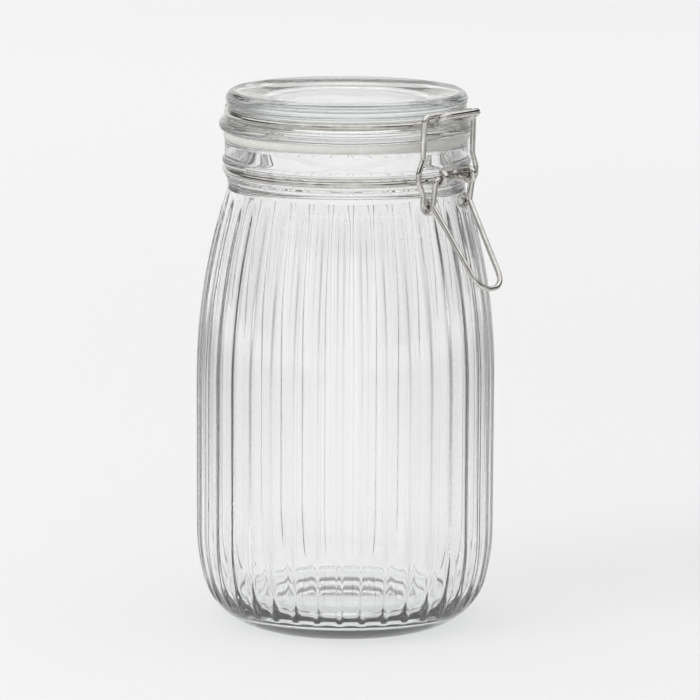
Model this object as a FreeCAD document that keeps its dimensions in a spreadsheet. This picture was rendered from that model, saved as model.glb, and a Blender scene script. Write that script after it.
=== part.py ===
import FreeCAD, Part
import math
import os
import re
import Sketcher

"""Clip-top storage jar: a ribbed glass barrel, a glass lid with a rubber ring, and a wire clip.

The frame: Z is the jar's axis, the origin is the centre of the foot, and the clip is at the front,
towards -Y. "Reach" is the distance from the axis towards the front (or the back), "side" is the
distance from the middle plane X = 0, and "height" is measured from the foot. Millimetres.
"""

SIZES = {
    # glass jar, outside
    "foot_height_inside": 3.5,
    "foot_slope": 6.0,
    "foot_width": 5.0,
    "foot_inset": 20.2,
    "heel_height": 17.0,
    "heel_inset": 3.2,
    "heel_round": 24.6,
    "heel_upper_round": 84.0,
    "belly_bottom": 40.0,
    "belly_top": 102.2,
    "barrel_radius": 62.2,
    "barrel_round": 257.6,
    "shoulder_drop": 27.6,
    "shoulder_inset": 10.5,
    "shoulder_round": 60.0,
    "neck_root_drop": 20.4,
    "neck_inset": 12.9,
    "step_drop": 16.7,
    "step_half": 0.8,
    "step_round": 1.6,
    "collar_drop": 14.7,
    "collar_step": 1.2,
    "bead_drop": 8.7,
    "bead_half": 1.65,
    "bead_round": 1.85,
    "rim_height": 202.6,
    "rim_round": 1.6,
    "rim_wall": 5.8,
    "mouth_round": 1.0,
    # glass jar, inside
    "wall": 4.0,
    "neck_inner_drop": 17.0,
    "floor_height": 7.5,
    "floor_rise": 1.0,
    "floor_inset": 19.2,
    "inner_heel_inset": 3.0,
    "inner_heel_height": 19.5,
    "inner_heel_round": 15.7,
    "inner_heel_upper_round": 72.0,
    # flutes between the ribs
    "rib_count": 38,
    "rib_angle": 2.1,
    "flute_depth": 0.6,
    "flute_end_inset": 10.6,
    "flute_end_height": 4.6,
    # rubber ring
    "ring_thickness": 3.6,
    "ring_lip": 0.4,
    "ring_overhang": 1.5,
    "ring_round": 2.2,
    "ring_gap": 0.1,
    # glass lid
    "lid_flange_lip": 0.5,
    "lid_flange_height": 5.2,
    "lid_flange_round": 3.0,
    "lid_waist_inset": 1.8,
    "lid_waist_low": 5.8,
    "lid_waist_high": 10.6,
    "lid_rim_inset": 2.0,
    "lid_rim_low": 11.2,
    "lid_thickness": 16.6,
    "lid_rim_round": 3.4,
    "lid_rim_lean": 2.3,
    "lid_rim_width": 3.8,
    "lid_rim_drop": 0.7,
    "lid_step_width": 4.0,
    "lid_step_drop": 1.2,
    "lid_dish_width": 5.5,
    "lid_dish_drop": 2.4,
    "plug_clearance": 2.0,
    "plug_depth": 4.8,
    "plug_wall": 9.0,
    "plug_slope": 3.0,
    "lid_plate": 7.1,
    # wires
    "neck_wire_diameter": 2.7,
    "neck_wire_sink": 0.3,
    "neck_wire_drop": 12.4,
    "lid_wire_diameter": 2.8,
    "lid_wire_rise": 7.3,
    "clip_wire_diameter": 2.3,
    "seat_gap": 0.05,
    "running_gap": 0.25,
    "bend": 2.6,
    # clip
    "eye_standoff": 7.1,
    "eye_wire_diameter": 2.4,
    "eye_rise": 2.0,
    "front_eye_side": 9.0,
    "back_eye_side": 6.2,
    "eye_bridge_diameter": 2.2,
    "hook_length": 2.7,
    "hook_clearance": 0.6,
    "loop_drop": 11.8,
    "loop_inset": 2.4,
    "grip_drop": 43.9,
    "grip_standoff": 27.1,
    "grip_side": 7.5,
    "grip_bend": 7.2,
    "bail_side": 15.9,
    "bail_leg_side": 15.2,
    "bail_bow_side": 18.5,
    "bail_bow_low": 1.0,
    "bail_bow_high": 2.5,
    "bail_bow_run": 5.5,
    "bail_top_standoff": 4.6,
    "catch_start_side": 8.8,
    "catch_side": 11.7,
    "catch_standoff": 11.5,
    "catch_rise": 4.6,
    "catch_knee_run": 1.5,
    "catch_knee_rise": 0.2,
    "catch_seat_rise": 0.9,
}


DERIVED = {
    "shoulder_radius": "barrel_radius - shoulder_inset",
    "shoulder_height": "rim_height - shoulder_drop",
    "neck_root_radius": "barrel_radius - neck_inset",
    "neck_root_height": "rim_height - neck_root_drop",
    "neck_radius": "neck_root_radius + collar_step",
    "neck_inner_height": "rim_height - neck_inner_drop",
    "step_height": "rim_height - step_drop",
    "collar_height": "rim_height - collar_drop",
    "bead_height": "rim_height - bead_drop",
    "mouth_radius": "neck_radius - rim_wall",
    "ring_outer_radius": "neck_radius + ring_lip",
    "ring_inner_radius": "mouth_radius - ring_overhang",
    "lid_flange_radius": "ring_outer_radius + lid_flange_lip",
    "lid_waist_radius": "lid_flange_radius - lid_waist_inset",
    "lid_rim_radius": "lid_flange_radius - lid_rim_inset",
    "lid_rim_top_radius": "lid_rim_radius - lid_rim_lean",
    "lid_rim_inner_radius": "lid_rim_top_radius - lid_rim_width",
    "lid_step_radius": "lid_rim_inner_radius - lid_step_width",
    "lid_dish_radius": "lid_step_radius - lid_dish_width",
    "plug_radius": "mouth_radius - plug_clearance",
    "neck_wire_radius": "neck_radius - neck_wire_sink",
    "neck_wire_height": "rim_height - neck_wire_drop",
    "lid_wire_radius": "lid_waist_radius",
    "eye_reach": "neck_wire_radius + eye_standoff",
    "grip_reach": "neck_wire_radius + grip_standoff",
    "bail_top_reach": "lid_wire_radius + bail_top_standoff",
    "catch_reach": "lid_wire_radius + catch_standoff",
    "lid_base": "rim_height + ring_gap + ring_thickness",
    "lid_wire_height": "lid_base + lid_wire_rise",
    "lid_top": "lid_base + lid_thickness",
    "eye_height": "neck_wire_height + eye_rise",
    "loop_height": "eye_height - loop_drop",
    "loop_round": "clip_wire_diameter + running_gap",
    "loop_reach": "shoulder_radius - loop_inset + loop_round + clip_wire_diameter / 2",
    "front_eye_round": "(eye_wire_diameter + clip_wire_diameter) / 2 + running_gap",
    "back_eye_round": "(eye_wire_diameter + lid_wire_diameter) / 2 + running_gap",
    "hook_side": "front_eye_side + (eye_wire_diameter + clip_wire_diameter) / 2 + hook_clearance",
    "hinge_side": "back_eye_side + (eye_wire_diameter + lid_wire_diameter) / 2 + hook_clearance",
    "hook_end_side": "front_eye_side - hook_length",
    "hinge_end_side": "back_eye_side - hook_length",
    "bail_end_side": "hook_side - clip_wire_diameter",
    "catch_knee_height": "lid_wire_height + catch_seat_rise + catch_knee_rise",
    "wire_contact": "(lid_wire_diameter + clip_wire_diameter) / 2",
    "bail_top_height": "lid_wire_height + catch_seat_rise + wire_contact + running_gap + 0.1",
}


def fill_sheet(doc):
    """The spreadsheet that holds every size, one row each, and the sizes that follow from them."""
    sheet = doc.addObject("Spreadsheet::Sheet", "sizes")
    row = 0
    for row, (name, number) in enumerate(SIZES.items(), start=1):
        sheet.set(f"A{row}", name)
        sheet.set(f"B{row}", str(number))
        sheet.setAlias(f"B{row}", name)
    for row, (name, formula) in enumerate(DERIVED.items(), start=row + 1):
        sheet.set(f"A{row}", name)
        sheet.set(f"B{row}", f"={formula}")
        sheet.setAlias(f"B{row}", name)
    doc.recompute()
    return sheet


def size(sheet, name):
    return float(getattr(sheet, name))


def bind(thing, prop, formula):
    """Ties a property to a formula whose plain words are names of the sheet."""
    thing.setExpression(prop, on_sheet(formula))


def on_sheet(formula):
    """The formula with each of its words that names a size read from the sheet."""
    known = {**SIZES, **DERIVED}
    return re.sub(r"[a-z_]+", lambda word: f"sizes.{word[0]}" if word[0] in known else word[0], formula)


def plane_of(body, role):
    return next(item for item in body.Origin.OriginFeatures if item.Role == role)


def new_sketch(body, name):
    """A sketch in the plane of the axis: its x is the radius and its y is the height."""
    sketch = body.newObject("Sketcher::SketchObject", name)
    sketch.AttachmentSupport = [(plane_of(body, "XZ_Plane"), "")]
    sketch.MapMode = "FlatFace"
    return sketch


def number_of(thing, formula):
    return float(thing.evalExpression(on_sheet(formula)))


def pin_point(sketch, edge, vertex, radius, height):
    """Holds one end of an edge at a radius and a height, each a formula or "0" for the axis."""
    for kind, formula, axis in (("DistanceX", radius, -2), ("DistanceY", height, -1)):
        if formula == "0":
            sketch.addConstraint(Sketcher.Constraint("PointOnObject", edge, vertex, axis))
            continue
        length = number_of(sketch, formula)
        index = sketch.addConstraint(Sketcher.Constraint(kind, -1, 1, edge, vertex, length))
        bind(sketch, f"Constraints[{index}]", formula)


def arc_middle(start, end, radius, side):
    """Middle point of the short arc from start to end; side +1 bulges right of the way there."""
    chord = end - start
    half = chord.Length / 2
    rise = radius - math.sqrt(max(radius * radius - half * half, 0.0))
    right = FreeCAD.Vector(chord.y, -chord.x, 0).normalize()
    return (start + end) / 2 + right * rise * side


def draw_profile(sketch, corners):
    """Draws a closed outline; each corner is (radius, height) or (radius, height, round, side)."""
    places = [
        FreeCAD.Vector(number_of(sketch, corner[0]), number_of(sketch, corner[1]), 0)
        for corner in corners
    ]
    ends = []
    for index, corner in enumerate(corners):
        start = places[index]
        end = places[(index + 1) % len(places)]
        if len(corner) == 2:
            edge = sketch.addGeometry(Part.LineSegment(start, end))
            ends.append((edge, 1, 2))
            continue
        middle = arc_middle(start, end, number_of(sketch, corner[2]), corner[3])
        if corner[3] > 0:
            edge = sketch.addGeometry(Part.Arc(start, middle, end))
            ends.append((edge, 1, 2))
        else:
            edge = sketch.addGeometry(Part.Arc(end, middle, start))
            ends.append((edge, 2, 1))
    for index, corner in enumerate(corners):
        edge, first, last = ends[index]
        following, its_first, _ = ends[(index + 1) % len(ends)]
        sketch.addConstraint(Sketcher.Constraint("Coincident", edge, last, following, its_first))
    for index, corner in enumerate(corners):
        edge, first, _ = ends[index]
        pin_point(sketch, edge, first, corner[0], corner[1])
        if len(corner) == 4:
            length = number_of(sketch, corner[2])
            spot = sketch.addConstraint(Sketcher.Constraint("Radius", edge, length))
            bind(sketch, f"Constraints[{spot}]", corner[2])


def turned(body, name, corners):
    """A solid turned about the axis from a closed outline."""
    sketch = new_sketch(body, f"{name}_outline")
    draw_profile(sketch, corners)
    feature = body.newObject("PartDesign::Revolution", name)
    feature.Profile = sketch
    feature.ReferenceAxis = (sketch, ["V_Axis"])
    feature.Angle = 360.0
    sketch.Document.recompute()
    return feature


def wire_seat(body, name, radius, height, wire):
    """Cuts the round groove that a wire ring lies in."""
    sketch = new_sketch(body, f"{name}_outline")
    centre = FreeCAD.Vector(number_of(sketch, radius), number_of(sketch, height), 0)
    groove_round = number_of(sketch, f"{wire} / 2 + seat_gap")
    circle = sketch.addGeometry(Part.Circle(centre, FreeCAD.Vector(0, 0, 1), groove_round))
    pin_point(sketch, circle, 3, radius, height)
    index = sketch.addConstraint(Sketcher.Constraint("Radius", circle, groove_round))
    bind(sketch, f"Constraints[{index}]", f"{wire} / 2 + seat_gap")
    feature = body.newObject("PartDesign::Groove", name)
    feature.Profile = sketch
    feature.ReferenceAxis = (sketch, ["V_Axis"])
    feature.Angle = 360.0
    sketch.Document.recompute()
    return feature


def make_jar_glass(doc):
    body = doc.addObject("PartDesign::Body", "jar_glass")
    turned(body, "jar_blank", [
        ("0", "foot_height_inside"),
        ("barrel_radius - foot_inset - foot_width - foot_slope", "foot_height_inside"),
        ("barrel_radius - foot_inset - foot_width", "0"),
        ("barrel_radius - foot_inset", "0", "heel_round", 1),
        ("barrel_radius - heel_inset", "heel_height", "heel_upper_round", 1),
        ("barrel_radius", "belly_bottom"),
        ("barrel_radius", "belly_top", "barrel_round", 1),
        ("shoulder_radius", "shoulder_height", "shoulder_round", -1),
        ("neck_root_radius", "neck_root_height"),
        ("neck_root_radius", "step_height - step_half", "step_round", 1),
        ("neck_root_radius", "step_height + step_half"),
        ("neck_radius", "collar_height"),
        ("neck_radius", "bead_height - bead_half", "bead_round", 1),
        ("neck_radius", "bead_height + bead_half"),
        ("neck_radius", "rim_height - rim_round", "rim_round", 1),
        ("neck_radius - rim_round", "rim_height"),
        ("mouth_radius + mouth_round", "rim_height", "mouth_round", 1),
        ("mouth_radius", "rim_height - mouth_round"),
        ("mouth_radius", "neck_inner_height", "shoulder_round", 1),
        ("shoulder_radius - wall", "shoulder_height", "barrel_round", -1),
        ("barrel_radius - wall", "belly_top"),
        ("barrel_radius - wall", "belly_bottom", "inner_heel_upper_round", -1),
        ("barrel_radius - wall - inner_heel_inset", "inner_heel_height", "inner_heel_round", -1),
        ("barrel_radius - floor_inset", "floor_height + floor_rise"),
        ("0", "floor_height"),
    ])
    wire_seat(body, "neck_wire_seat", "neck_wire_radius", "neck_wire_height", "neck_wire_diameter")
    sketch = new_sketch(body, "flute_outline")
    draw_profile(sketch, [
        ("shoulder_radius + 2", "shoulder_height + 2"),
        ("shoulder_radius - flute_depth / 3", "shoulder_height - 2", "barrel_round", -1),
        ("barrel_radius - flute_depth", "belly_top"),
        ("barrel_radius - flute_depth", "belly_bottom", "heel_upper_round", -1),
        ("barrel_radius - heel_inset - flute_depth", "heel_height", "heel_round", -1),
        ("barrel_radius - flute_end_inset", "flute_end_height"),
        ("barrel_radius + 3", "flute_end_height"),
        ("barrel_radius + 3", "shoulder_height + 2"),
    ])
    whole = body.Shape.Volume
    flute = body.newObject("PartDesign::Groove", "flute")
    flute.Profile = sketch
    flute.ReferenceAxis = (sketch, ["V_Axis"])
    flute.Midplane = True
    bind(flute, "Angle", "360 / rib_count - rib_angle")
    doc.recompute()
    flutes = body.newObject("PartDesign::PolarPattern", "flutes")
    flutes.Originals = [flute]
    flutes.Axis = (plane_of(body, "Z_Axis"), [""])
    flutes.Angle = 360.0
    bind(flutes, "Occurrences", "rib_count")
    body.Tip = flutes
    doc.recompute()
    if body.Shape.Volume > whole - 100:
        raise ValueError("the flutes cut nothing")
    return body


def make_lid_glass(doc):
    body = doc.addObject("PartDesign::Body", "lid_glass")
    turned(body, "lid_blank", [
        ("0", "lid_top - lid_dish_drop - lid_plate"),
        ("plug_radius - plug_wall - plug_slope", "lid_top - lid_dish_drop - lid_plate"),
        ("plug_radius - plug_wall", "lid_base - plug_depth"),
        ("plug_radius", "lid_base - plug_depth"),
        ("plug_radius", "lid_base"),
        ("lid_flange_radius", "lid_base", "lid_flange_round", 1),
        ("lid_flange_radius", "lid_base + lid_flange_height"),
        ("lid_waist_radius", "lid_base + lid_waist_low"),
        ("lid_waist_radius", "lid_base + lid_waist_high"),
        ("lid_rim_radius", "lid_base + lid_rim_low", "lid_rim_round", 1),
        ("lid_rim_top_radius", "lid_top"),
        ("lid_rim_inner_radius", "lid_top - lid_rim_drop"),
        ("lid_step_radius", "lid_top - lid_step_drop"),
        ("lid_dish_radius", "lid_top - lid_dish_drop"),
        ("0", "lid_top - lid_dish_drop"),
    ])
    wire_seat(body, "lid_wire_seat", "lid_wire_radius", "lid_wire_height", "lid_wire_diameter")
    return body


def make_gasket(doc):
    body = doc.addObject("PartDesign::Body", "gasket")
    turned(body, "gasket_ring", [
        ("ring_inner_radius", "rim_height + ring_gap"),
        ("ring_outer_radius - 0.5", "rim_height + ring_gap", "ring_round", 1),
        ("ring_outer_radius - 0.5", "lid_base"),
        ("ring_inner_radius", "lid_base"),
    ])
    return body


def place(thing, side, reach, height, turn=None):
    """Puts a primitive at a place given by formulas; the front is towards -Y."""
    if turn:
        thing.Placement = FreeCAD.Placement(FreeCAD.Vector(), FreeCAD.Rotation(*turn))
    bind(thing, "Placement.Base.x", side)
    bind(thing, "Placement.Base.y", f"0 - ({reach})")
    bind(thing, "Placement.Base.z", height)


ACROSS = (FreeCAD.Vector(0, 1, 0), 90)
FORWARD = (FreeCAD.Vector(1, 0, 0), 90)


def loop(doc, name, side, reach, height, middle_round, wire):
    """A closed loop of wire that stands across X, as an eye or a coil does."""
    thing = doc.addObject("Part::Torus", name)
    bind(thing, "Radius1", middle_round)
    bind(thing, "Radius2", f"{wire} / 2")
    place(thing, side, reach, height, ACROSS)
    return thing


def straight(doc, name, side, reach, height, length, wire, turn):
    thing = doc.addObject("Part::Cylinder", name)
    bind(thing, "Radius", f"{wire} / 2")
    bind(thing, "Height", length)
    place(thing, side, reach, height, turn)
    return thing


def join(doc, name, things):
    whole = doc.addObject("Part::MultiFuse", name)
    whole.Shapes = things
    whole.Refine = True
    return whole


def make_neck_wire(doc):
    """The ring in the neck's groove, with two eyes at the front and two at the back.

    The wire runs out from the ring under each eye, round it, and across to the other eye on top.
    """
    ring = doc.addObject("Part::Torus", "neck_ring")
    bind(ring, "Radius1", "neck_wire_radius")
    bind(ring, "Radius2", "neck_wire_diameter / 2")
    place(ring, "0", "0", "neck_wire_height")
    pieces = [ring]
    for end, way in (("front", 1), ("back", -1)):
        eye_side = f"{end}_eye_side"
        eye_round = f"{end}_eye_round"
        on_ring = f"sqrt(neck_wire_radius ^ 2 - {eye_side} ^ 2)"
        under_eye = f"(eye_reach - sqrt({eye_round} ^ 2 - eye_rise ^ 2))"
        pieces.append(straight(doc, f"{end}_bridge", f"0 - {eye_side}", f"{way} * eye_reach",
                               f"eye_height + {eye_round}", f"2 * {eye_side}",
                               "eye_bridge_diameter", ACROSS))
        for label, sign in (("left", -1), ("right", 1)):
            side = f"{sign} * {eye_side}"
            pieces.append(loop(doc, f"{end}_{label}_eye", side, f"{way} * eye_reach",
                               "eye_height", eye_round, "eye_wire_diameter"))
            near = on_ring if way > 0 else f"0 - {under_eye}"
            pieces.append(straight(doc, f"{end}_{label}_stub", side, near, "neck_wire_height",
                                   f"{under_eye} - {on_ring}", "eye_wire_diameter", FORWARD))
    return join(doc, "neck_wire", pieces)


def bent_wire(places, wire, bends):
    """A round wire through the given places, with a tangent arc of its own size at each turn."""
    points = [FreeCAD.Vector(side, -reach, height) for side, reach, height in places]
    edges = []
    start = points[0]
    for index in range(1, len(points) - 1):
        before = points[index - 1] - points[index]
        after = points[index + 1] - points[index]
        turn = math.pi - before.getAngle(after)
        room = 0.48 * min(before.Length, after.Length)
        back = min(bends[index - 1] * math.tan(turn / 2), room)
        arc_round = back / math.tan(turn / 2)
        before.normalize()
        after.normalize()
        first = points[index] + before * back
        last = points[index] + after * back
        inward = (before + after).normalize()
        middle = points[index] + inward * (arc_round / math.cos(turn / 2) - arc_round)
        edges.append(Part.LineSegment(start, first).toShape())
        edges.append(Part.Arc(first, middle, last).toShape())
        start = last
    edges.append(Part.LineSegment(start, points[-1]).toShape())
    path = Part.Wire(edges)
    direction = points[1] - points[0]
    section = Part.Wire(Part.Circle(points[0], direction, wire / 2).toShape())
    return path.makePipeShell([section], True, True)


def mirrored(places):
    """The same run on the other side, in the order that carries on from the first."""
    return places + [(-side, reach, height) for side, reach, height in reversed(places)]


def add_bent_wire(doc, name, places, wire, bends):
    thing = doc.addObject("Part::Feature", name)
    thing.Shape = bent_wire(places, wire, bends)
    return thing


def make_lid_wire(doc, sheet):
    """Two half rings in the lid's groove, the catch at the front and two hinge legs at the back."""
    wire = size(sheet, "lid_wire_diameter")
    radius = size(sheet, "lid_wire_radius")
    level = size(sheet, "lid_wire_height")
    start = size(sheet, "catch_start_side")
    leg = size(sheet, "hinge_side")
    knee_reach = size(sheet, "bail_top_reach") + size(sheet, "catch_knee_run")
    knee_side = (start + size(sheet, "catch_side")) / 2
    bends = [size(sheet, "bend")] * 4
    catch = mirrored([
        (start, math.sqrt(radius ** 2 - start ** 2), level),
        (knee_side, knee_reach, size(sheet, "catch_knee_height")),
        (size(sheet, "catch_side"), size(sheet, "catch_reach"), level + size(sheet, "catch_rise")),
    ])
    pieces = [add_bent_wire(doc, "catch", catch, wire, bends)]
    back = math.sqrt(radius ** 2 - leg ** 2)
    hinge_reach = size(sheet, "eye_reach")
    hinge_height = size(sheet, "eye_height")
    front_angle = "asin(catch_start_side / lid_wire_radius)"
    back_angle = "asin(hinge_side / lid_wire_radius)"
    for label, sign in (("left", -1), ("right", 1)):
        run = [
            (sign * leg, -back, level),
            (sign * leg, -hinge_reach, level),
            (sign * leg, -hinge_reach, hinge_height),
            (sign * size(sheet, "hinge_end_side"), -hinge_reach, hinge_height),
        ]
        pieces.append(add_bent_wire(doc, f"hinge_leg_{label}", run, wire, bends))
        half = doc.addObject("Part::Torus", f"lid_half_ring_{label}")
        bind(half, "Radius1", "lid_wire_radius")
        bind(half, "Radius2", "lid_wire_diameter / 2")
        bind(half, "Angle3", f"180 deg - {front_angle} - {back_angle}")
        place(half, "0", "0", "lid_wire_height", (FreeCAD.Vector(0, 0, 1), 1.0))
        first = f"{front_angle} - 90 deg" if sign > 0 else f"90 deg + {back_angle}"
        bind(half, "Placement.Rotation.Angle", first)
        pieces.append(half)
        for end, side, reach in (("front", start, catch[0][1]), ("back", leg, -back)):
            knuckle = doc.addObject("Part::Sphere", f"lid_wire_{end}_{label}")
            bind(knuckle, "Radius", "lid_wire_diameter / 2")
            knuckle.Placement.Base = FreeCAD.Vector(sign * side, -reach, level)
            pieces.append(knuckle)
    return join(doc, "lid_wire", pieces)


def make_lever(doc, sheet):
    """The grip: hooks in the neck's eyes, legs down to two loops, and a long bow below them."""
    wire = size(sheet, "clip_wire_diameter")
    side = size(sheet, "hook_side")
    eye_reach = size(sheet, "eye_reach")
    pivot = size(sheet, "eye_height")
    loop_height = size(sheet, "loop_height")
    bend = size(sheet, "bend")
    grip_bend = size(sheet, "grip_bend")
    run = mirrored([
        (size(sheet, "hook_end_side"), eye_reach, pivot),
        (side, eye_reach, pivot),
        (side, size(sheet, "loop_reach") + size(sheet, "loop_round"), loop_height),
        (size(sheet, "grip_side"), size(sheet, "grip_reach"), pivot - size(sheet, "grip_drop")),
    ])
    bends = [bend, bend, grip_bend, grip_bend, bend, bend]
    pieces = [add_bent_wire(doc, "grip", run, wire, bends)]
    for label, sign in (("left", -1), ("right", 1)):
        pieces.append(loop(doc, f"loop_{label}", f"{sign} * hook_side", "loop_reach", "loop_height",
                           "loop_round", "clip_wire_diameter"))
    return join(doc, "lever", pieces)


def make_bail(doc, sheet):
    """The hoop that pulls the lid down: it hangs in the lever's loops and lies over the catch."""
    low = size(sheet, "loop_height")
    high = size(sheet, "bail_top_height")
    foot = size(sheet, "loop_reach")
    side = size(sheet, "bail_side")
    leg = size(sheet, "bail_leg_side")
    bow = size(sheet, "bail_bow_side")
    bow_low = size(sheet, "eye_height") - size(sheet, "bail_bow_low")
    bow_high = size(sheet, "eye_height") + size(sheet, "bail_bow_high")
    bow_run = size(sheet, "bail_bow_run")
    lean = (size(sheet, "bail_top_reach") - foot) / (high - low)

    def on_leg(beside, height):
        return (beside, foot + lean * (height - low), height)

    run = mirrored([
        on_leg(size(sheet, "bail_end_side"), low),
        on_leg(leg, low),
        on_leg(leg, bow_low - bow_run),
        on_leg(bow, bow_low),
        on_leg(bow, bow_high),
        on_leg(side, bow_high + bow_run),
        on_leg(side, high),
    ])
    bends = [size(sheet, "bend")] * (len(run) - 2)
    return add_bent_wire(doc, "bail", run, size(sheet, "clip_wire_diameter"), bends)


def check(doc, nodes):
    for thing in doc.Objects:
        if "Invalid" in thing.State or "Error" in thing.State:
            raise ValueError(f"{thing.Label} failed: {thing.State}")
    for node in nodes:
        if node.Shape.isNull() or not node.Shape.isValid():
            raise ValueError(f"{node.Label} has no sound shape")


def main():
    doc = FreeCAD.newDocument("clip_top_jar")
    sheet = fill_sheet(doc)
    nodes = [
        make_jar_glass(doc),
        make_neck_wire(doc),
        make_lid_glass(doc),
        make_gasket(doc),
        make_lid_wire(doc, sheet),
        make_lever(doc, sheet),
        make_bail(doc, sheet),
    ]
    doc.recompute()
    check(doc, nodes)
    os.makedirs("parts", exist_ok=True)
    for node in nodes:
        node.Shape.exportStep(f"parts/{node.Label}.step")
        box = node.Shape.BoundBox
        print(f"{node.Label}: {len(node.Shape.Solids)} solid, {node.Shape.Volume / 1000:.1f} cm3, "
              f"x {box.XMin:.1f} {box.XMax:.1f}, y {box.YMin:.1f} {box.YMax:.1f}, "
              f"z {box.ZMin:.1f} {box.ZMax:.1f}")


main()
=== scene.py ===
import math

import bmesh
import bpy
from mathutils import Euler, Matrix, Vector


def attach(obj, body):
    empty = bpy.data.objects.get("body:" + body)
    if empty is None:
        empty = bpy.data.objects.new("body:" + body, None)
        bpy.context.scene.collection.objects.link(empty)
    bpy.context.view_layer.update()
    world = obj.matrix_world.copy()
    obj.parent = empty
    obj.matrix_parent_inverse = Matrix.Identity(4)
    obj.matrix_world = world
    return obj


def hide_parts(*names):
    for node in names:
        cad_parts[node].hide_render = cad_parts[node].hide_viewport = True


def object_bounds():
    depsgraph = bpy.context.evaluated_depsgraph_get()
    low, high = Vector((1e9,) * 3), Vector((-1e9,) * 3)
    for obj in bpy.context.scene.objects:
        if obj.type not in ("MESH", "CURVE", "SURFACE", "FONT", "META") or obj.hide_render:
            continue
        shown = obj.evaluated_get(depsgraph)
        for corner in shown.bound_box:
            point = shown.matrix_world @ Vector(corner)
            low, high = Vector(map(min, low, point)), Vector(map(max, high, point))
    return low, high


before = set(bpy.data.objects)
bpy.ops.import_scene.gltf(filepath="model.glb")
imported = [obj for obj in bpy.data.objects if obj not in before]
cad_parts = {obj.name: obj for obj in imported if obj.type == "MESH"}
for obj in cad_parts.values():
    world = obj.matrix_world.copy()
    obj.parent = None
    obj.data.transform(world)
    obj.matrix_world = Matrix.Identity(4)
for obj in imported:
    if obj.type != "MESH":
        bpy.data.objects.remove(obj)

cad_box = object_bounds()

# Lengths below are in millimetres and angles in degrees; MM turns a length into Blender's metres.
MM = 0.001

# Jar glass, outside
FOOT_RECESS = 3.5
FOOT_INNER_RADIUS = 37.0
FOOT_OUTER_RADIUS = 42.0
HEEL_RADIUS = 59.0
HEEL_HEIGHT = 17.0
HEEL_ROUND = 24.6
HEEL_UPPER_ROUND = 84.0
BARREL_RADIUS = 62.2
BARREL_ROUND = 257.6
BELLY_BOTTOM = 40.0
BELLY_TOP = 102.2
SHOULDER_RADIUS = 51.7
SHOULDER_HEIGHT = 175.0
SHOULDER_ROUND = 60.0
NECK_ROOT_RADIUS = 49.3
NECK_ROOT_HEIGHT = 182.2
STEP_HEIGHT = 185.9
NECK_RADIUS = 50.5
COLLAR_HEIGHT = 187.9
BEAD_HEIGHT = 193.9
RIM_HEIGHT = 202.6
MOUTH_RADIUS = 44.7
WALL = 4.0
FLOOR_HEIGHT = 7.5

# Ribs and the flutes between them
RIB_COUNT = 38
RIB_HALF_WIDTH = 1.2
FLUTE_DEPTH = 0.75
FLUTE_TOP = 181.0
FLUTE_FADE = 12.0
FLUTE_BOTTOM = 9.0
SCALLOP = 1.5
FLUTE_EDGE_IN = 0.6
FLUTE_EDGE_OUT = 0.7
FLUTE_END_BELOW = 0.8
FLUTE_END_ABOVE = 2.8

# Lid glass, from its base up
LID_BASE = 206.3
LID_TOP = 222.9
PLUG_DEPTH = 4.8
PLUG_RADIUS = 42.7
PLUG_INNER_RADIUS = 33.7
HOLLOW_RADIUS = 30.7
HOLLOW_HEIGHT = 213.4
FLANGE_RADIUS = 51.4
FLANGE_RISE = 5.2
FLANGE_ROUND = 3.0
WAIST_RADIUS = 49.6
WAIST_LOW = 5.8
WAIST_HIGH = 10.6
LID_RIM_RADIUS = 49.4
LID_RIM_LOW = 11.2
LID_RIM_ROUND = 3.4
LID_RIM_TOP_RADIUS = 47.1
LID_RIM_INNER_RADIUS = 43.3
LID_RIM_DROP = 0.7
LID_STEP_RADIUS = 39.3
LID_STEP_DROP = 1.2
LID_DISH_RADIUS = 33.8
LID_DISH_DROP = 2.4

# Rubber ring
RING_GAP = 0.1
RING_INNER_RADIUS = 43.2
RING_RADIUS = 50.4
RING_ROUND = 2.4
RING_EDGE = 0.25

# Wires that lie round the lid and the neck
SEAT_GAP = 0.05
LID_WIRE_HEIGHT = 213.6
LID_WIRE_RADIUS = 49.6
LID_WIRE = 2.8
NECK_WIRE_HEIGHT = 190.2
NECK_WIRE_RADIUS = 50.2
NECK_WIRE = 2.7
CLIP_WIRE = 2.3

# Clip, hinge and the bends of their wires
RUNNING_GAP = 0.25
EYE_REACH = 57.3
EYE_SIDE = 9.0
BACK_EYE_SIDE = 6.2
EYE_HEIGHT = NECK_WIRE_HEIGHT + 2.0
HOOK_SIDE = 11.95
LOOP_REACH = 53.0
LOOP_HEIGHT = 180.4
FRONT_EYE_ROUND = 2.6
BACK_EYE_ROUND = 2.85
EYE_SHIFT = 0.5
EYE_PITCH = -0.9
HOOK_LENGTH = 2.7
CATCH_START_SIDE = 8.8
CATCH_END = (11.7, 61.1, 4.6)
CATCH_KNEE = (10.25, 55.7, 1.1)
HINGE_SIDE = 9.4
GRIP_SIDE = 7.5
GRIP_REACH = 77.3
GRIP_DROP = 43.9
GRIP_BEND = 7.2
BAIL_TOP_HEIGHT = 217.4
BAIL_TOP_REACH = 54.2
BAIL_END_SIDE = 9.65
BAIL_LEG_SIDE = 15.2
BAIL_BOW_SIDE = 18.5
BAIL_TOP_SIDE = 15.9


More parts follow.
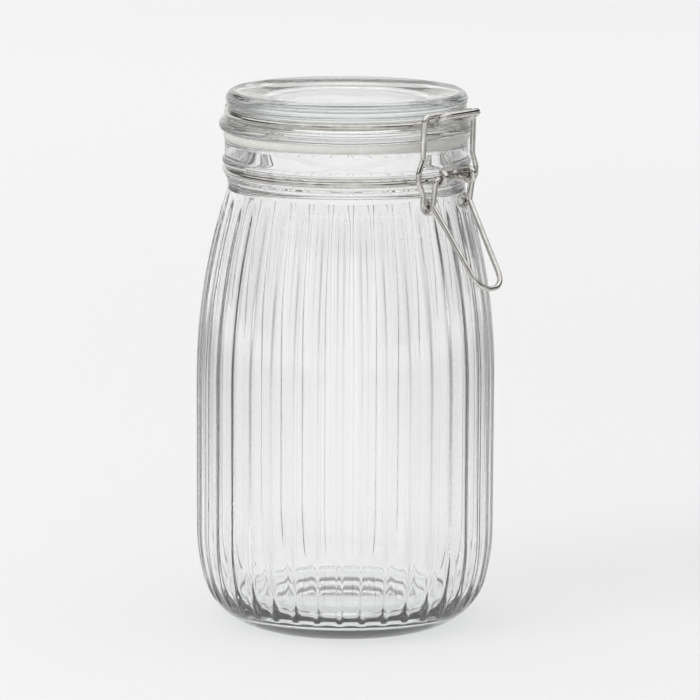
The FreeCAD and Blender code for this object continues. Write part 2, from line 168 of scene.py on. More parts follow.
class Value:
    """Wraps a node's output socket, so that sums on it read as sums and add Math nodes."""

    def __init__(self, tree, socket):
        self.tree = tree
        self.socket = socket

    def math(self, operation, *others):
        return self.tree.add("ShaderNodeMath", {"operation": operation}, self, *others)

    def __add__(self, other):
        return self.math("ADD", other)

    def __sub__(self, other):
        return self.math("SUBTRACT", other)

    def __mul__(self, other):
        return self.math("MULTIPLY", other)

    def __truediv__(self, other):
        return self.math("DIVIDE", other)

    def __rsub__(self, other):
        return self.tree.add("ShaderNodeMath", {"operation": "SUBTRACT"}, other, self)

    def __rtruediv__(self, other):
        return self.tree.add("ShaderNodeMath", {"operation": "DIVIDE"}, other, self)

    __radd__ = __add__
    __rmul__ = __mul__


class Tree:
    """A node tree that adds any node from its type, its settings and what feeds its sockets."""

    def __init__(self, nodes):
        self.nodes = nodes

    def add(self, kind, settings=None, *inputs, out=0, **named):
        node = self.nodes.nodes.new(kind)
        for key, value in (settings or {}).items():
            if key == "stops":
                set_stops(node.color_ramp, value)
            else:
                setattr(node, key, value)
        for index, value in enumerate(inputs):
            self.feed(node.inputs[index], value)
        for name, value in named.items():
            self.feed(node.inputs[name.replace("_", " ")], value)
        if not node.outputs:
            return node
        return Value(self, node.outputs[out])

    def feed(self, socket, value):
        if isinstance(value, Value):
            self.nodes.links.new(value.socket, socket)
        elif value is not None:
            socket.default_value = value


def set_stops(ramp, stops):
    for index, (place, colour) in enumerate(stops):
        element = ramp.elements[index] if index < 2 else ramp.elements.new(place)
        element.position = place
        element.color = (*colour, 1.0) if len(colour) == 3 else colour


def grey(level):
    return (level, level, level)


def smooth_step(tree, value, low, high):
    """0 below low, 1 above high and a smooth rise between them."""
    return tree.add("ShaderNodeMapRange", {"interpolation_type": "SMOOTHSTEP"},
                    value, low, high, 0.0, 1.0)


def blend(tree, factor, below, above):
    """Mixes two colours; each is a colour or the output of a node."""
    mixed = tree.add("ShaderNodeMix", {"data_type": "RGBA"}, out=2, Factor=factor)
    for place, colour in ((6, below), (7, above)):
        socket = mixed.socket.node.inputs[place]
        if isinstance(colour, tuple):
            socket.default_value = (*colour, 1.0)
        else:
            tree.feed(socket, colour)
    return mixed


# ---- Materials ----


def new_material(name):
    material = bpy.data.materials.new(name)
    material.use_nodes = True
    material.node_tree.nodes.clear()
    return material, Tree(material.node_tree)


def clear_glass(name):
    """Clear pressed glass: faintly wavy and hazy, tinted in its depth, and lamps shine through."""
    material, tree = new_material(name)
    place = tree.add("ShaderNodeTexCoord", {}, out=3)
    slow = tree.add("ShaderNodeTexNoise", {}, place, Scale=22.0, Detail=2.0, Roughness=0.45)
    fine = tree.add("ShaderNodeTexNoise", {}, place, Scale=160.0, Detail=3.0, Roughness=0.6)
    waves = tree.add("ShaderNodeBump", {}, Strength=0.10, Distance=0.0006, Height=slow)
    haze = tree.add("ShaderNodeTexNoise", {}, place, Scale=9.0, Detail=3.0, Roughness=0.6)
    rough = smooth_step(tree, haze, 0.45, 0.8) * 0.018 + fine * 0.006
    glass = tree.add("ShaderNodeBsdfPrincipled", {}, Base_Color=(1.0, 1.0, 1.0, 1.0),
                     Roughness=rough, IOR=1.5, Transmission_Weight=0.975, Normal=waves)
    passed = tree.add("ShaderNodeBsdfTransparent", {}, (0.94, 0.945, 0.94, 1.0))
    for_lamps = tree.add("ShaderNodeLightPath", {}, out=1)
    for_bounces = tree.add("ShaderNodeLightPath", {}, out=2)
    lit = for_lamps.math("MAXIMUM", for_bounces)
    surface = tree.add("ShaderNodeMixShader", {}, lit, glass, passed)
    depth = tree.add("ShaderNodeVolumeAbsorption", {}, Color=(0.66, 0.78, 0.72, 1.0), Density=3.0)
    output = tree.add("ShaderNodeOutputMaterial")
    tree.feed(output.inputs["Surface"], surface)
    tree.feed(output.inputs["Volume"], depth)
    return material


def drawn_steel(name):
    """Bright drawn steel wire: fine draw lines and faint rubbed patches."""
    material, tree = new_material(name)
    place = tree.add("ShaderNodeTexCoord", {}, out=3)
    patches = tree.add("ShaderNodeTexNoise", {}, place, Scale=210.0, Detail=4.0, Roughness=0.6)
    lines = tree.add("ShaderNodeTexNoise", {}, place, Scale=1900.0, Detail=2.0, Roughness=0.5)
    colour = tree.add("ShaderNodeValToRGB", {"stops": [
        (0.30, (0.52, 0.50, 0.47)), (0.62, (0.72, 0.705, 0.68))]}, patches)
    rough = smooth_step(tree, patches, 0.35, 0.7) * 0.06 + 0.05
    scratches = tree.add("ShaderNodeBump", {}, Strength=0.12, Distance=0.00005, Height=lines)
    steel = tree.add("ShaderNodeBsdfPrincipled", {}, Base_Color=colour, Metallic=1.0,
                     Roughness=rough, Normal=scratches)
    tree.add("ShaderNodeOutputMaterial", {}, steel)
    return material


def ring_rubber(name):
    """Off-white rubber: soft gloss, faint mottling and a fine moulded grain."""
    material, tree = new_material(name)
    place = tree.add("ShaderNodeTexCoord", {}, out=3)
    mottle = tree.add("ShaderNodeTexNoise", {}, place, Scale=130.0, Detail=4.0, Roughness=0.6)
    grain = tree.add("ShaderNodeTexNoise", {}, place, Scale=2600.0, Detail=2.0, Roughness=0.5)
    colour = tree.add("ShaderNodeValToRGB", {"stops": [
        (0.3, (0.74, 0.73, 0.69)), (0.7, (0.83, 0.82, 0.78))]}, mottle)
    rough = smooth_step(tree, mottle, 0.3, 0.75) * 0.15 + 0.42
    bumps = tree.add("ShaderNodeBump", {}, Strength=0.25, Distance=0.00004, Height=grain)
    rubber = tree.add("ShaderNodeBsdfPrincipled", {}, Base_Color=colour, Roughness=rough,
                      Normal=bumps)
    tree.add("ShaderNodeOutputMaterial", {}, rubber)
    return material


# ---- Turned shapes ----


def arc(start, end, radius, side, count):
    """Points of the short arc from start to end without the end; side +1 bulges to the right."""
    (x0, y0), (x1, y1) = start, end
    half = math.hypot(x1 - x0, y1 - y0) / 2
    off = math.sqrt(max(radius * radius - half * half, 0.0)) * side
    right = ((y1 - y0) / (2 * half), (x0 - x1) / (2 * half))
    cx = (x0 + x1) / 2 - right[0] * off
    cy = (y0 + y1) / 2 - right[1] * off
    first = math.atan2(y0 - cy, x0 - cx)
    sweep = math.atan2(y1 - cy, x1 - cx) - first
    sweep = (sweep + math.pi) % (2 * math.pi) - math.pi
    return [(cx + radius * math.cos(first + sweep * step / count),
             cy + radius * math.sin(first + sweep * step / count)) for step in range(count)]


def outline(corners):
    """Points of an outline; a corner is (radius, height) with up to four words on what follows.

    (r, z) is a sharp or straight-through corner, (r, z, "round", size) is rounded off, and
    (r, z, "arc", size, side, count) starts an arc to the next corner.
    """
    points = []
    for index, corner in enumerate(corners):
        here = corner[:2]
        if len(corner) > 2 and corner[2] == "arc":
            points += arc(here, corners[index + 1][:2], corner[3], corner[4], corner[5])
        elif len(corner) > 2 and corner[2] == "round":
            points += rounded(corners[index - 1][:2], here, corners[index + 1][:2], corner[3])
        else:
            points.append(here)
    return points


def rounded(before, here, after, size, count=5):
    """A corner cut back by size along both its sides and curved between them."""
    here = Vector(here)
    first = here + (Vector(before) - here).normalized() * size
    last = here + (Vector(after) - here).normalized() * size
    steps = [step / count for step in range(count + 1)]
    return [tuple(first * (1 - t) ** 2 + here * 2 * t * (1 - t) + last * t * t) for t in steps]


def densified(points, longest):
    """The same outline with no straight step longer than the given one."""
    filled = []
    for here, there in zip(points, points[1:]):
        count = max(1, math.ceil(math.dist(here, there) / longest))
        for step in range(count):
            t = step / count
            filled.append((here[0] + (there[0] - here[0]) * t, here[1] + (there[1] - here[1]) * t))
    return filled + [points[-1]]


def turned(name, points, angles, closed=False):
    """A solid of revolution from its outline; the ends close on the axis unless it is a ring."""
    verts, faces, rows = [], [], []
    for radius, height in points:
        if radius < 1e-6:
            rows.append([len(verts)])
            verts.append((0.0, 0.0, height * MM))
            continue
        rows.append(range(len(verts), len(verts) + len(angles)))
        verts += [(radius * MM * math.cos(a), radius * MM * math.sin(a), height * MM) for a in angles]
    pairs = list(zip(rows, rows[1:]))
    if closed:
        pairs.append((rows[-1], rows[0]))
    count = len(angles)
    for low, high in pairs:
        for index in range(count):
            following = (index + 1) % count
            if len(low) == 1:
                faces.append((low[0], high[following], high[index]))
            elif len(high) == 1:
                faces.append((low[index], low[following], high[0]))
            else:
                faces.append((low[index], low[following], high[following], high[index]))
    mesh = bpy.data.meshes.new(name)
    mesh.from_pydata(verts, [], faces)
    mesh.shade_smooth()
    mesh.update()
    piece = bpy.data.objects.new(name, mesh)
    bpy.context.scene.collection.objects.link(piece)
    return piece


def even_angles(count):
    return [2 * math.pi * index / count for index in range(count)]


def ribbed_angles():
    """Angles round the barrel, close together at the ribs' edges and wide apart in the flutes."""
    pitch = 2 * math.pi / RIB_COUNT
    beside = [0.0, 0.6, 0.95, 1.25, 1.55, 1.9, 3.4]
    offsets = sorted({side * step / BARREL_RADIUS for step in beside for side in (-1, 1)})
    return [pitch * rib + offset for rib in range(RIB_COUNT) for offset in offsets]


def jar_points():
    outside = [
        (0.0, FOOT_RECESS, "arc", 210.0, -1, 8),
        (FOOT_INNER_RADIUS, 0.35, "round", 0.9),
        (FOOT_INNER_RADIUS + 1.2, 0.0),
        (FOOT_OUTER_RADIUS, 0.0, "arc", HEEL_ROUND, 1, 16),
        (HEEL_RADIUS, HEEL_HEIGHT, "arc", HEEL_UPPER_ROUND, 1, 8),
        (BARREL_RADIUS, BELLY_BOTTOM),
        (BARREL_RADIUS, BELLY_TOP, "arc", BARREL_ROUND, 1, 18),
        (SHOULDER_RADIUS, SHOULDER_HEIGHT, "arc", SHOULDER_ROUND, -1, 6),
        (NECK_ROOT_RADIUS, NECK_ROOT_HEIGHT, "round", 0.4),
        (NECK_ROOT_RADIUS, STEP_HEIGHT - 0.8, "arc", 1.6, 1, 6),
        (NECK_ROOT_RADIUS, STEP_HEIGHT + 0.8, "round", 0.3),
        (NECK_RADIUS, COLLAR_HEIGHT, "round", 0.5),
        *groove(NECK_RADIUS, NECK_WIRE_RADIUS, NECK_WIRE_HEIGHT, NECK_WIRE / 2),
        (NECK_RADIUS, BEAD_HEIGHT - 1.65, "arc", 1.85, 1, 8),
        (NECK_RADIUS, BEAD_HEIGHT + 1.65, "round", 0.4),
        (NECK_RADIUS, RIM_HEIGHT - 1.6, "arc", 1.6, 1, 6),
        (NECK_RADIUS - 1.6, RIM_HEIGHT),
        (MOUTH_RADIUS + 1.0, RIM_HEIGHT, "arc", 1.0, 1, 5),
        (MOUTH_RADIUS, RIM_HEIGHT - 1.0),
    ]
    inside = [
        (MOUTH_RADIUS, RIM_HEIGHT - 1.0),
        (MOUTH_RADIUS, 185.6, "arc", SHOULDER_ROUND, 1, 8),
        (SHOULDER_RADIUS - WALL, SHOULDER_HEIGHT, "arc", BARREL_ROUND, -1, 14),
        (BARREL_RADIUS - WALL, BELLY_TOP),
        (BARREL_RADIUS - WALL, BELLY_BOTTOM, "arc", 72.0, -1, 6),
        (BARREL_RADIUS - WALL - 3.0, 19.5, "arc", 15.7, -1, 10),
        (BARREL_RADIUS - 19.2, FLOOR_HEIGHT + 1.0, "round", 3.0),
        (0.0, FLOOR_HEIGHT),
    ]
    return densified(outline(outside), 6.0), densified(outline(inside), 7.0)


def groove(outer, radius, height, size):
    """Points of the round groove that a wire lies in, from its lower lip to its upper one."""
    size += SEAT_GAP
    half = math.acos((outer - radius) / size)
    lips = [half + (2 * math.pi - 2 * half) * step / 12 for step in range(13)]
    return [(radius + size * math.cos(a), height - size * math.sin(a)) for a in lips]


# ---- Geometry Nodes ----


def new_geometry_tree(name, inputs):
    group = bpy.data.node_groups.new(name, "GeometryNodeTree")
    group.interface.new_socket("Geometry", in_out="INPUT", socket_type="NodeSocketGeometry")
    for label, kind in inputs:
        group.interface.new_socket(label, in_out="INPUT", socket_type=kind)
    group.interface.new_socket("Geometry", in_out="OUTPUT", socket_type="NodeSocketGeometry")
    tree = Tree(group)
    start = group.nodes.new("NodeGroupInput")
    given = {item.name: Value(tree, item) for item in start.outputs if item.name}
    return group, tree, given


def finish_geometry_tree(group, tree, geometry, material):
    solid = tree.add("GeometryNodeRealizeInstances", {}, geometry)
    dressed = tree.add("GeometryNodeSetMaterial", {}, solid, Material=material)
    end = group.nodes.new("NodeGroupOutput")
    tree.feed(end.inputs[0], dressed)


def apply_geometry(piece, group, values):
    """Runs a geometry tree on a piece and keeps the result as its plain mesh."""
    modifier = piece.modifiers.new(group.name, "NODES")
    modifier.node_group = group
    for item in group.interface.items_tree:
        if item.in_out == "INPUT" and item.name in values:
            modifier[item.identifier] = values[item.name]
    evaluated = piece.evaluated_get(bpy.context.evaluated_depsgraph_get())
    mesh = bpy.data.meshes.new_from_object(evaluated)
    piece.modifiers.clear()
    piece.data = mesh
    mesh.shade_smooth()
    return piece


def flute_tree():
    """Presses the flutes into the barrel: what is left standing between them are the ribs."""
    group, tree, given = new_geometry_tree("press_flutes", [
        ("Rib Count", "NodeSocketFloat"), ("Rib Half Width", "NodeSocketFloat"),
        ("Flute Depth", "NodeSocketFloat"), ("Flute Top", "NodeSocketFloat"),
        ("Flute Fade", "NodeSocketFloat"), ("Flute Bottom", "NodeSocketFloat"),
        ("Scallop", "NodeSocketFloat"), ("Glass", "NodeSocketMaterial")])
    place = tree.add("GeometryNodeInputPosition")
    x = tree.add("ShaderNodeSeparateXYZ", {}, place, out=0)
    y = tree.add("ShaderNodeSeparateXYZ", {}, place, out=1)
    z = tree.add("ShaderNodeSeparateXYZ", {}, place, out=2)
    radius = (x * x + y * y).math("SQRT")
    turn = y.math("ARCTAN2", x) * given["Rib Count"] / (2 * math.pi)
    from_rib = (turn - turn.math("ROUND")).math("ABSOLUTE")
    beside = from_rib * radius * (2 * math.pi) / given["Rib Count"]
    half = given["Rib Half Width"]
    flat = smooth_step(tree, beside, half - FLUTE_EDGE_IN * MM, half + FLUTE_EDGE_OUT * MM)
    middle = 1 - from_rib * 2
    curved_end = given["Flute Bottom"] + given["Scallop"] * middle * middle
    above = smooth_step(tree, z, curved_end - FLUTE_END_BELOW * MM,
                        curved_end + FLUTE_END_ABOVE * MM)
    below = smooth_step(tree, given["Flute Top"] - z, 0.0, given["Flute Fade"])
    outer = tree.add("GeometryNodeInputNamedAttribute", {"data_type": "FLOAT"}, "outer")
    drop = flat * above * below * outer * given["Flute Depth"]
    outward = tree.add("ShaderNodeVectorMath", {"operation": "NORMALIZE"},
                       tree.add("ShaderNodeCombineXYZ", {}, x, y, 0.0))
    shift = tree.add("ShaderNodeVectorMath", {"operation": "SCALE"}, outward, Scale=0.0 - drop)
    pressed = tree.add("GeometryNodeSetPosition", {}, given["Geometry"], Offset=shift)
    finish_geometry_tree(group, tree, pressed, given["Glass"])
    return group


def wire_tree():
    """Sweeps a round wire along a piece's edges, with its corners bent to a radius."""
    group, tree, given = new_geometry_tree("bend_wire", [
        ("Wire", "NodeSocketFloat"), ("Bend", "NodeSocketFloat"),
        ("Steel", "NodeSocketMaterial")])
    path = tree.add("GeometryNodeMeshToCurve", {}, given["Geometry"])
    bent = tree.add("GeometryNodeFilletCurve", {"mode": "POLY"}, path, Count=7,
                    Radius=given["Bend"], Limit_Radius=True)
    section = tree.add("GeometryNodeCurvePrimitiveCircle", {}, Resolution=20,
                       Radius=given["Wire"] * 0.5)
    tube = tree.add("GeometryNodeCurveToMesh", {}, bent, section, Fill_Caps=True)
    finish_geometry_tree(group, tree, tube, given["Steel"])
    return group


# ---- Wires ----


def front(side, reach, height):
    """A place on the clip's side of the jar, from how far it is to the side and to the front."""
    return Vector((side, -reach, height)) * MM


def wire(name, runs, diameter, bend, group, steel):
    """One bent wire, or several that make one piece; each run is a list of places."""
    verts, edges = [], []
    for run, closed in runs:
        first = len(verts)
        verts += run
        edges += [(first + index, first + index + 1) for index in range(len(run) - 1)]
        if closed:
            edges.append((len(verts) - 1, first))
    mesh = bpy.data.meshes.new(name)
    mesh.from_pydata(verts, edges, [])
    piece = bpy.data.objects.new(name, mesh)
    bpy.context.scene.collection.objects.link(piece)
    apply_geometry(piece, group, {"Wire": diameter * MM, "Bend": bend * MM, "Steel": steel})
    outward_normals(piece)
    return piece


def outward_normals(piece):
    work = bmesh.new()
    work.from_mesh(piece.data)
    bmesh.ops.remove_doubles(work, verts=work.verts, dist=1e-7)
    bmesh.ops.recalc_face_normals(work, faces=work.faces)
    work.to_mesh(piece.data)
    work.free()
    piece.data.shade_smooth()


def circle_run(radius, height, first, last, count):
    """Places on a level circle round the jar, from one angle to another off the front."""
    angles = [math.radians(first + (last - first) * step / count) for step in range(count + 1)]
    return [front(radius * math.sin(a), radius * math.cos(a), height) for a in angles]


def coil_run(side, reach, height, radius, first, turn, pitch, count=20):
    """Places on a coil that stands across the jar's side axis; angles start at the front."""
    places = []
    for step in range(count + 1):
        angle = math.radians(first + turn * step / count)
        places.append(front(side + pitch * step / count, reach + radius * math.cos(angle),
                            height + radius * math.sin(angle)))
    return places


def mirrored(run):
    return run + [Vector((-place.x, place.y, place.z)) for place in reversed(run)]


def flipped(run):
    return [Vector((-place.x, place.y, place.z)) for place in run]


def neck_wire_runs():
    """The ring, then at the front and the back one run under, round and across both eyes."""
    runs = [(circle_run(NECK_WIRE_RADIUS, NECK_WIRE_HEIGHT, 0, 357.5, 143), True)]
    for way, side, eye in ((1, EYE_SIDE, FRONT_EYE_ROUND), (-1, BACK_EYE_SIDE, BACK_EYE_ROUND)):
        ring = math.sqrt(NECK_WIRE_RADIUS ** 2 - side ** 2)
        under = math.degrees(math.asin((EYE_HEIGHT - NECK_WIRE_HEIGHT) / eye))
        outer = side + EYE_SHIFT
        stub = [front(outer, ring, NECK_WIRE_HEIGHT), front(outer, ring + 2.0, NECK_WIRE_HEIGHT)]
        coil = coil_run(outer, EYE_REACH, EYE_HEIGHT, eye, 180 + under, 270 - under, EYE_PITCH)
        run = mirrored(stub + coil)
        runs.append(([Vector((p.x, p.y * way, p.z)) for p in run], False))
    return runs


def lid_wire_runs():
    level = LID_WIRE_HEIGHT
    radius = LID_WIRE_RADIUS
    start = math.degrees(math.asin(CATCH_START_SIDE / radius))
    back = math.degrees(math.asin(HINGE_SIDE / radius))
    half = circle_run(radius, level, start, 180 - back, 60)
    catch = [front(side, reach, level + rise) for side, reach, rise in (CATCH_END, CATCH_KNEE)]
    hinge = [front(HINGE_SIDE, -EYE_REACH, level), front(HINGE_SIDE, -EYE_REACH, EYE_HEIGHT),
             front(BACK_EYE_SIDE - HOOK_LENGTH, -EYE_REACH, EYE_HEIGHT)]
    right = catch + half + hinge
    return [(list(reversed(flipped(right))) + right, False)]


def lever_runs():
    loop = CLIP_WIRE + RUNNING_GAP
    hook = [front(EYE_SIDE - HOOK_LENGTH, EYE_REACH, EYE_HEIGHT),
            front(HOOK_SIDE, EYE_REACH, EYE_HEIGHT)]
    coil = coil_run(HOOK_SIDE, LOOP_REACH, LOOP_HEIGHT, loop, 10, -350, 0.0)
    grip = bow((GRIP_SIDE, GRIP_REACH, EYE_HEIGHT - GRIP_DROP), coil[-1] / MM, GRIP_BEND)
    return [(mirrored(hook + coil + grip), False)]


def bow(corner, before, size, count=14):
    """Places round one corner of the grip, bent to its own larger size."""
    here = front(*corner) / MM
    back = (Vector(before) - here).normalized()
    along = Vector((-1.0, 0.0, 0.0))
    turn = math.pi - back.angle(along)
    room = min(size * math.tan(turn / 2), 0.48 * 2 * corner[0])
    first, last = here + back * room, here + along * room
    size = room / math.tan(turn / 2)
    centre = here + (back + along).normalized() * size / math.cos(turn / 2)
    places = []
    for step in range(count + 1):
        out = (first * (count - step) + last * step) / count - centre
        places.append((centre + out.normalized() * size) * MM)
    return places


def bail_runs():
    low, high = LOOP_HEIGHT, BAIL_TOP_HEIGHT

    def on_leg(side, height):
        lean = (BAIL_TOP_REACH - LOOP_REACH) * (height - low) / (high - low)
        return front(side, LOOP_REACH + lean, height)

    run = [on_leg(BAIL_END_SIDE, low), on_leg(BAIL_LEG_SIDE, low),
           on_leg(BAIL_LEG_SIDE, EYE_HEIGHT - 6.5), on_leg(BAIL_BOW_SIDE, EYE_HEIGHT - 1.0),
           on_leg(BAIL_BOW_SIDE, EYE_HEIGHT + 2.5), on_leg(BAIL_TOP_SIDE, EYE_HEIGHT + 8.0),
           on_leg(BAIL_TOP_SIDE, high)]
    return [(mirrored(run), False)]


# ---- The jar ----


def make_jar(glass):
    outside, inside = jar_points()
    shell = turned("jar_glass_shell", outside, ribbed_angles())
    marks = shell.data.attributes.new("outer", "FLOAT", "POINT")
    marks.data.foreach_set("value", [1.0] * len(shell.data.vertices))
    apply_geometry(shell, flute_tree(), {
        "Rib Count": float(RIB_COUNT), "Rib Half Width": RIB_HALF_WIDTH * MM,
        "Flute Depth": FLUTE_DEPTH * MM, "Flute Top": FLUTE_TOP * MM,
        "Flute Fade": FLUTE_FADE * MM, "Flute Bottom": FLUTE_BOTTOM * MM,
        "Scallop": SCALLOP * MM, "Glass": glass})
    return shell, inside


def joined_walls(name, shell, inside, glass):
    """Closes the jar: the inner wall is turned with the same angles and joined at the rim."""
    inner = turned("inner_wall", inside, ribbed_angles())
    work = bmesh.new()
    work.from_mesh(shell.data)
    work.from_mesh(inner.data)
    bmesh.ops.remove_doubles(work, verts=work.verts, dist=1e-6)
    bmesh.ops.recalc_face_normals(work, faces=work.faces)
    mesh = bpy.data.meshes.new(name)
    work.to_mesh(mesh)
    work.free()
    mesh.materials.clear()
    mesh.materials.append(glass)
    mesh.shade_smooth()
    bpy.data.objects.remove(inner)
    bpy.data.objects.remove(shell)
    piece = bpy.data.objects.new(name, mesh)
    bpy.context.scene.collection.objects.link(piece)
    return piece


def lid_points():
    return densified(outline([
        (0.0, HOLLOW_HEIGHT),
        (HOLLOW_RADIUS, HOLLOW_HEIGHT, "round", 2.5),
        (PLUG_INNER_RADIUS, LID_BASE - PLUG_DEPTH, "round", 1.2),
        (PLUG_RADIUS, LID_BASE - PLUG_DEPTH, "round", 0.8),
        (PLUG_RADIUS, LID_BASE, "round", 0.3),
        (FLANGE_RADIUS, LID_BASE, "arc", FLANGE_ROUND, 1, 12),
        (FLANGE_RADIUS, LID_BASE + FLANGE_RISE, "round", 0.4),
        (WAIST_RADIUS, LID_BASE + WAIST_LOW, "round", 0.1),
        *groove(WAIST_RADIUS, LID_WIRE_RADIUS, LID_WIRE_HEIGHT, LID_WIRE / 2),
        (WAIST_RADIUS, LID_BASE + WAIST_HIGH, "round", 0.3),
        (LID_RIM_RADIUS, LID_BASE + LID_RIM_LOW, "arc", LID_RIM_ROUND, 1, 12),
        (LID_RIM_TOP_RADIUS, LID_TOP, "round", 0.6),
        (LID_RIM_INNER_RADIUS, LID_TOP - LID_RIM_DROP, "round", 0.5),
        (LID_STEP_RADIUS, LID_TOP - LID_STEP_DROP, "round", 0.5),
        (LID_DISH_RADIUS, LID_TOP - LID_DISH_DROP, "round", 0.5),
        (0.0, LID_TOP - LID_DISH_DROP),
    ]), 3.0)


def gasket_points():
    low, high = RIM_HEIGHT + RING_GAP, LID_BASE
    edge = RING_RADIUS - 0.4
    middle = 47.0
    return outline([
        (RING_INNER_RADIUS, low), (middle, low), (edge, low, "round", 0.3),
        (RING_RADIUS, low + RING_EDGE, "arc", RING_ROUND, 1, 8),
        (RING_RADIUS, high - RING_EDGE), (edge, high), (middle, high), (RING_INNER_RADIUS, high),
    ])


def dress(piece, body, node, material):
    if not piece.data.materials:
        piece.data.materials.append(material)
    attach(piece, body)
    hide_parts(node)


def make_parts():
    jar_glass = clear_glass("clear_jar_glass")
    lid_glass = clear_glass("clear_lid_glass")
    steel = drawn_steel("bright_wire_steel")
    rubber = ring_rubber("off_white_rubber")
    shell, inside = make_jar(jar_glass)
    jar = joined_walls("ribbed_jar", shell, inside, jar_glass)
    dress(jar, "jar", "jar_glass", jar_glass)
    lid = turned("glass_lid", lid_points(), even_angles(288))
    outward_normals(lid)
    dress(lid, "lid", "lid_glass", lid_glass)
    ring = turned("rubber_ring", gasket_points(), even_angles(240), closed=True)
    outward_normals(ring)
    dress(ring, "lid", "gasket", rubber)
    group = wire_tree()
    for name, runs, diameter, bend, body, node in (
            ("neck_ring_wire", neck_wire_runs(), NECK_WIRE, 1.6, "jar", "neck_wire"),
            ("lid_ring_wire", lid_wire_runs(), LID_WIRE, 2.6, "lid", "lid_wire"),
            ("grip_lever", lever_runs(), CLIP_WIRE, 2.2, "lever", "lever"),
            ("clip_bail", bail_runs(), CLIP_WIRE, 2.4, "bail", "bail")):
        piece = wire(name, runs, diameter, bend, group, steel)
        dress(piece, body, node, steel)


# ---- Floor, light and camera ----

VIEW_AZIMUTH = -50.0
CAMERA_DISTANCE = 1.8725
CAMERA_HEIGHT = 0.4528
CAMERA_PITCH = 10.265
CAMERA_ROLL = 0.282
LENS = 234.75
CAMERA_YAW = -0.054

# Brightness of the floor and the tent; 1 is white. The far floor's colour is painted light, lighter
# where the lamp's light falls off, and the floor's grey is painted shade at the jar's sides that the
# glass and the wires show as dark lines.
FLOOR_PALE = 0.83
FLOOR_FAR_PAINTED_LIGHT = 0.93
FLOOR_PAINTED_SHADE = 0.34
PANEL = 0.9
FRONT_PANEL = 1.0
FLAG = 0.03
SLIT = 0.04
OVERHEAD = 1.14


def along_and_across(tree, coordinate):
    """How far a place lies behind the jar and to its side, as the camera looks at it."""
    x = tree.add("ShaderNodeSeparateXYZ", {}, coordinate, out=0)
    y = tree.add("ShaderNodeSeparateXYZ", {}, coordinate, out=1)
    turn = math.radians(VIEW_AZIMUTH)
    behind = y * math.cos(turn) - x * math.sin(turn)
    beside = (x * math.cos(turn) + y * math.sin(turn)).math("ABSOLUTE")
    return behind, beside


def make_floor():
    """A pale sweep, painted lighter away from the jar where the lamp's light falls off, with a soft
    grey field of painted shade at each side of the jar, as the camera looks at it, that the glass and
    the wires show as dark lines.
    """
    size = 15.0
    mesh = bpy.data.meshes.new("floor")
    mesh.from_pydata([(-size, -size, 0), (size, -size, 0), (size, size, 0), (-size, size, 0)],
                     [], [(0, 1, 2, 3)])
    floor = bpy.data.objects.new("floor", mesh)
    bpy.context.scene.collection.objects.link(floor)
    material, tree = new_material("pale_floor")
    place = tree.add("ShaderNodeTexCoord", {}, out=3)
    behind, beside = along_and_across(tree, place)
    # Painted shade: a grey field on the floor at each side of the jar, which the ribs and the wires
    # show as dark lines; it fades out far from the jar.
    painted_shade_sides = smooth_step(tree, beside - behind.math("MAXIMUM", -0.3) * 0.08, 0.17, 0.46)
    distance = (behind * behind + beside * beside).math("SQRT")
    painted_shade_far_end = smooth_step(tree, distance, 0.9, 1.9)
    # Painted light: the floor is painted lighter away from the jar, where the lamp's light falls off.
    pale = blend(tree, smooth_step(tree, distance, 0.1, 2.2), grey(FLOOR_PALE), grey(FLOOR_FAR_PAINTED_LIGHT))
    colour = blend(tree, painted_shade_sides * (1 - painted_shade_far_end), pale, grey(FLOOR_PAINTED_SHADE))
    paint = tree.add("ShaderNodeBsdfDiffuse", {}, colour)
    tree.add("ShaderNodeOutputMaterial", {}, paint)
    mesh.materials.append(material)
    floor.location.z = cad_box[0].z


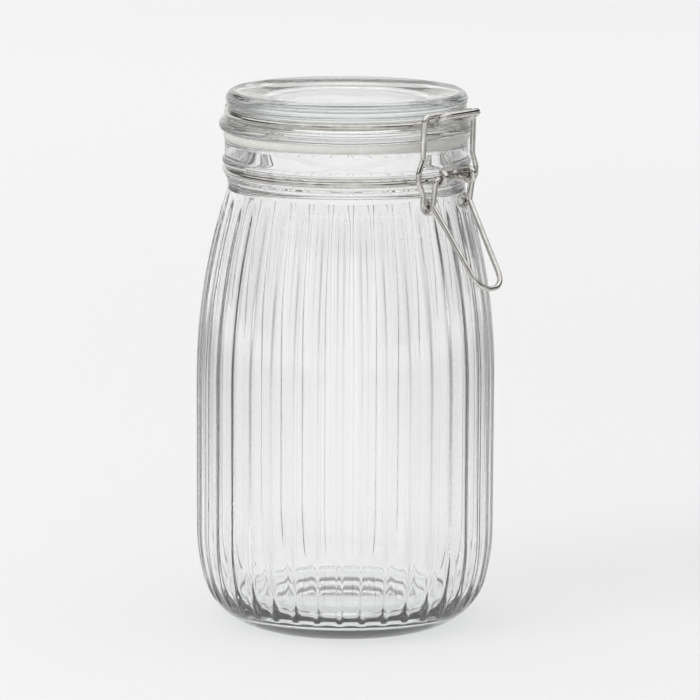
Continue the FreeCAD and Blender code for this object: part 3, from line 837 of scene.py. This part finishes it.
def make_world():
    """A light tent: pale panels round the jar with dark flags between them, and a dark gap
    below the overhead light."""
    world = bpy.data.worlds.new("light_tent")
    world.use_nodes = True
    world.node_tree.nodes.clear()
    tree = Tree(world.node_tree)
    ray = tree.add("ShaderNodeTexCoord", {}, out=0)
    x = tree.add("ShaderNodeSeparateXYZ", {}, ray, out=0)
    y = tree.add("ShaderNodeSeparateXYZ", {}, ray, out=1)
    z = tree.add("ShaderNodeSeparateXYZ", {}, ray, out=2)
    away = math.radians(VIEW_AZIMUTH + 90.0)
    turn = y.math("ARCTAN2", x)
    spin = ((turn - away) / (2 * math.pi) + 1.5).math("FRACT")
    stretches = [(0.0, 0.06, FRONT_PANEL), (0.10, 0.16, SLIT), (0.19, 0.22, PANEL),
                 (0.25, 0.38, FLAG), (0.42, 0.665, PANEL), (0.69, 0.79, FLAG),
                 (0.84, 0.91, PANEL), (0.93, 0.95, SLIT), (0.97, 1.0, FRONT_PANEL)]
    tent = tree.add("ShaderNodeValToRGB", {"stops": [
        (edge, grey(level)) for first, last, level in stretches for edge in (first, last)]}, spin)
    below_gap = blend(tree, smooth_step(tree, z, 0.26, 0.32), tent, grey(SLIT))
    light = blend(tree, smooth_step(tree, z, 0.46, 0.56), below_gap, grey(OVERHEAD))
    tree.add("ShaderNodeOutputWorld", {}, tree.add("ShaderNodeBackground", {}, light, 1.0))
    bpy.context.scene.world = world


def aim(thing, place, target):
    thing.location = place
    thing.rotation_euler = (Vector(target) - Vector(place)).to_track_quat("-Z", "Y").to_euler()


def round_about(azimuth, distance, height):
    """A place round the jar; azimuth 0 is in front of the clip and 90 is to its right."""
    angle = math.radians(azimuth)
    return Vector((math.sin(angle) * distance, -math.cos(angle) * distance, height))


def make_lamp(name, azimuth, distance, height, size, power):
    lamp = bpy.data.lights.new(name, "AREA")
    lamp.size = size
    lamp.energy = power
    thing = bpy.data.objects.new(name, lamp)
    bpy.context.scene.collection.objects.link(thing)
    aim(thing, round_about(azimuth, distance, height), (0.0, 0.0, 0.1))
    thing.visible_camera = False
    thing.visible_glossy = False
    thing.visible_transmission = False


def make_camera():
    data = bpy.data.cameras.new("camera")
    camera = bpy.data.objects.new("camera", data)
    bpy.context.scene.collection.objects.link(camera)
    data.sensor_width = 36.0
    data.lens = LENS
    data.clip_end = 60.0
    camera.location = round_about(VIEW_AZIMUTH, CAMERA_DISTANCE, CAMERA_HEIGHT)
    facing = Euler((math.radians(90.0 - CAMERA_PITCH), 0.0, math.radians(VIEW_AZIMUTH + CAMERA_YAW)))
    roll = Matrix.Rotation(math.radians(CAMERA_ROLL), 4, "Z")
    camera.rotation_euler = (facing.to_matrix().to_4x4() @ roll).to_euler()
    bpy.context.scene.camera = camera


make_parts()
make_floor()
make_world()
make_lamp("key", azimuth=VIEW_AZIMUTH - 55.0, distance=2.6, height=2.5, size=1.4, power=38.0)
make_camera()
bpy.context.scene.view_settings.view_transform = "Standard"
